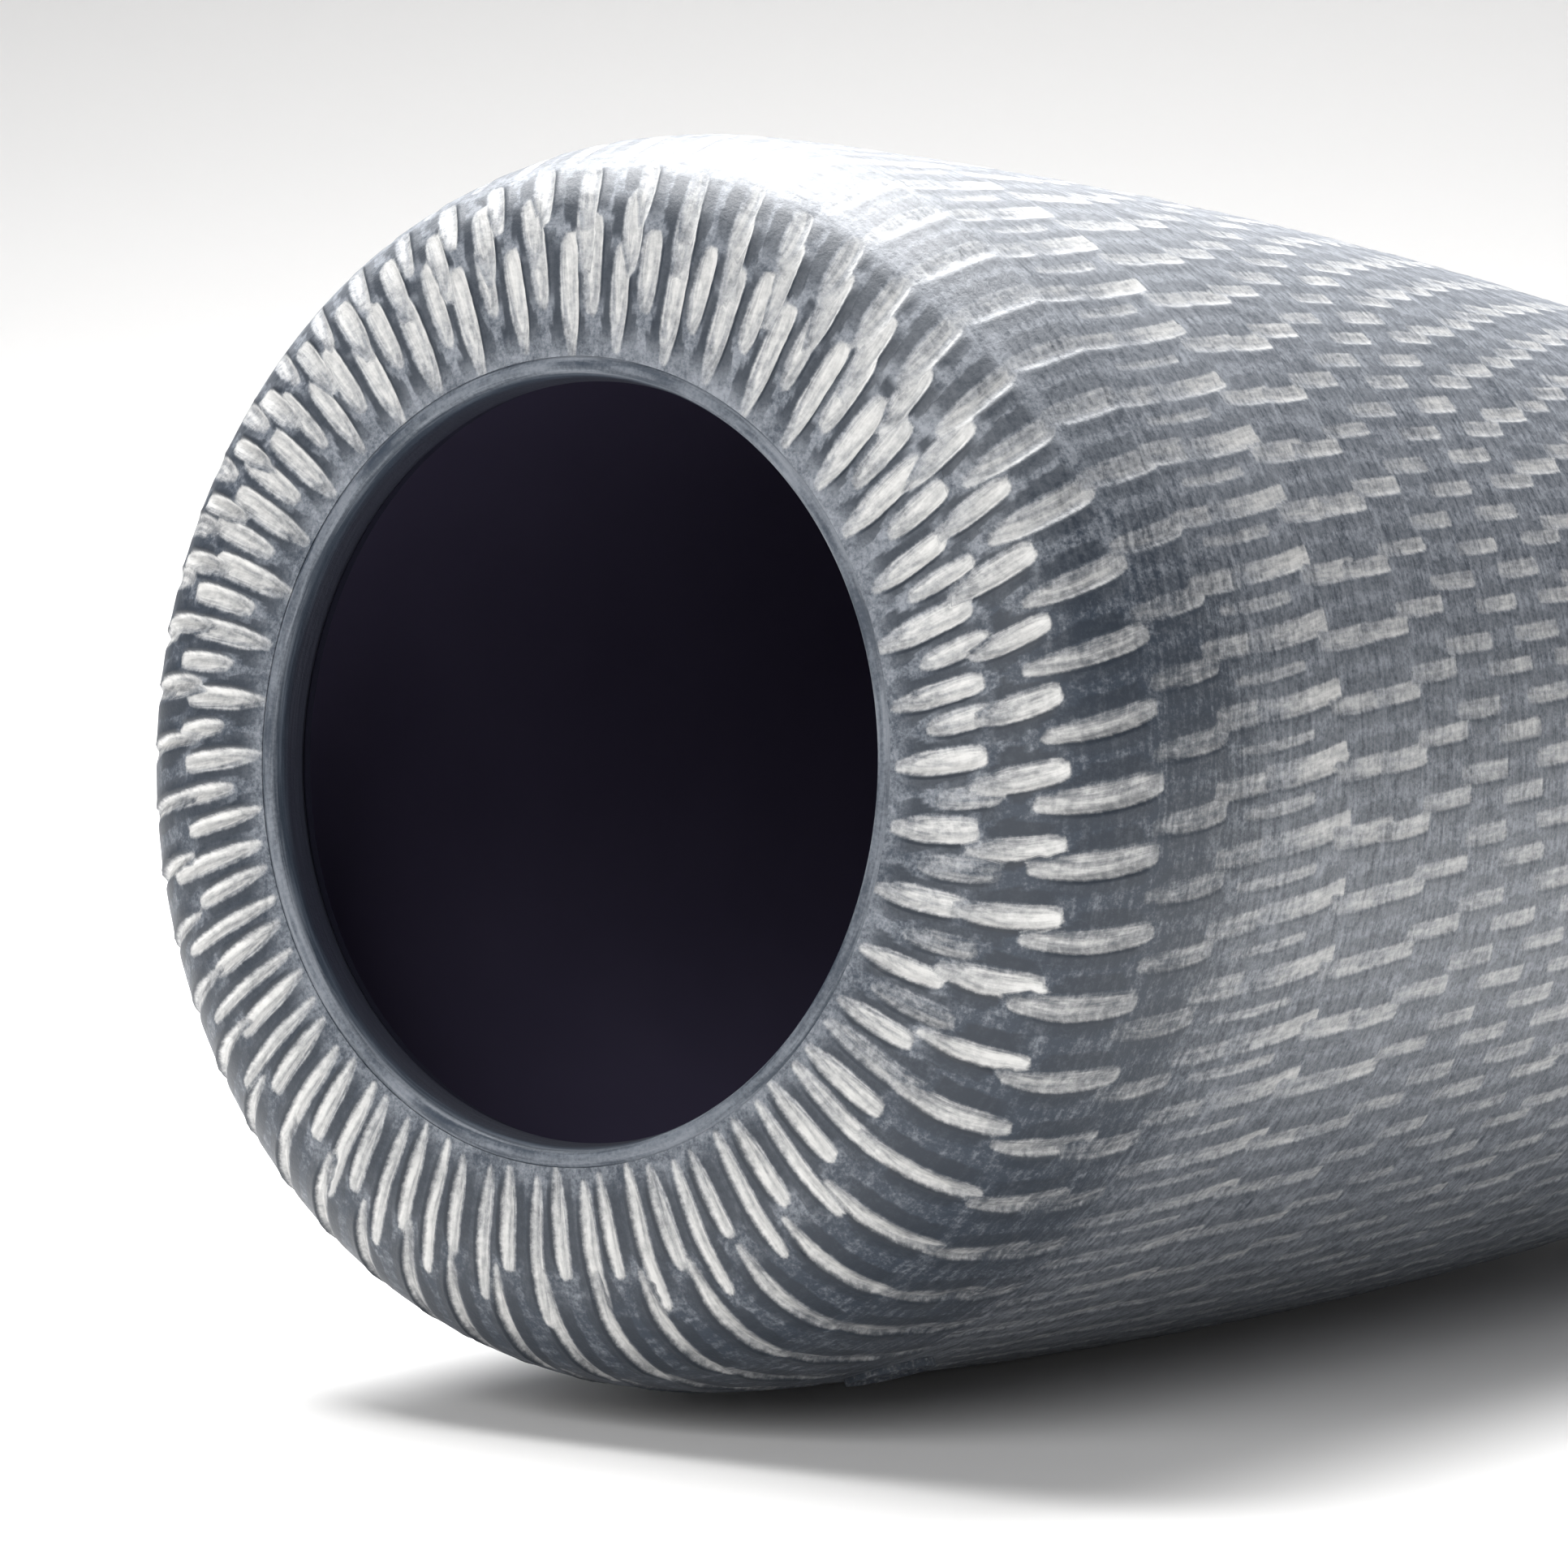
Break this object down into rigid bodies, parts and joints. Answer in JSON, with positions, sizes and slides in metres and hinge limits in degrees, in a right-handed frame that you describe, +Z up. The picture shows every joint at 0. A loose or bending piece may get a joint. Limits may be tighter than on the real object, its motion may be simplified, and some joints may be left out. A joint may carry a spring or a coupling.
{
  "type": "ceramic vase",
  "caption": "Wheel-thrown stoneware vase lying on its side, with a wide mouth, a closed-in round shoulder, a tapering body carved with rows of chatter marks and a turned foot ring.",
  "frame": {"origin": "on the ground under the middle of the lying vase (bottom centre of its box)", "axes": "+X from the mouth towards the foot, along the vase; +Z up; the vase's own axis slopes 3.2 degrees down towards the foot, because it rests on the flat under its middle"},
  "size_m": [0.2636, 0.1516, 0.1542],
  "materials": {
    "carved_slip": "matt slate-grey slip, brushed in fine rings, cut through to pale clay by chatter marks",
    "lip_slip": "smooth dark slip with a worn pale edge",
    "base_slip": "matt slate-grey slip with turning rings",
    "bare_clay": "bare fired clay, wiped smooth",
    "liner_glaze": "black satin glaze",
    "seal_clay": "matt slip, worn pale on the raised ring"
  },
  "bodies": {
    "root": {"lip_ring": "lip_slip", "shoulder_wall": "carved_slip", "belly_wall": "carved_slip", "middle_wall": "carved_slip", "lower_wall": "carved_slip", "base_disc": "base_slip", "foot_ring": "bare_clay", "liner_glaze": "liner_glaze", "makers_seal": "seal_clay"}
  },
  "joints": []
}
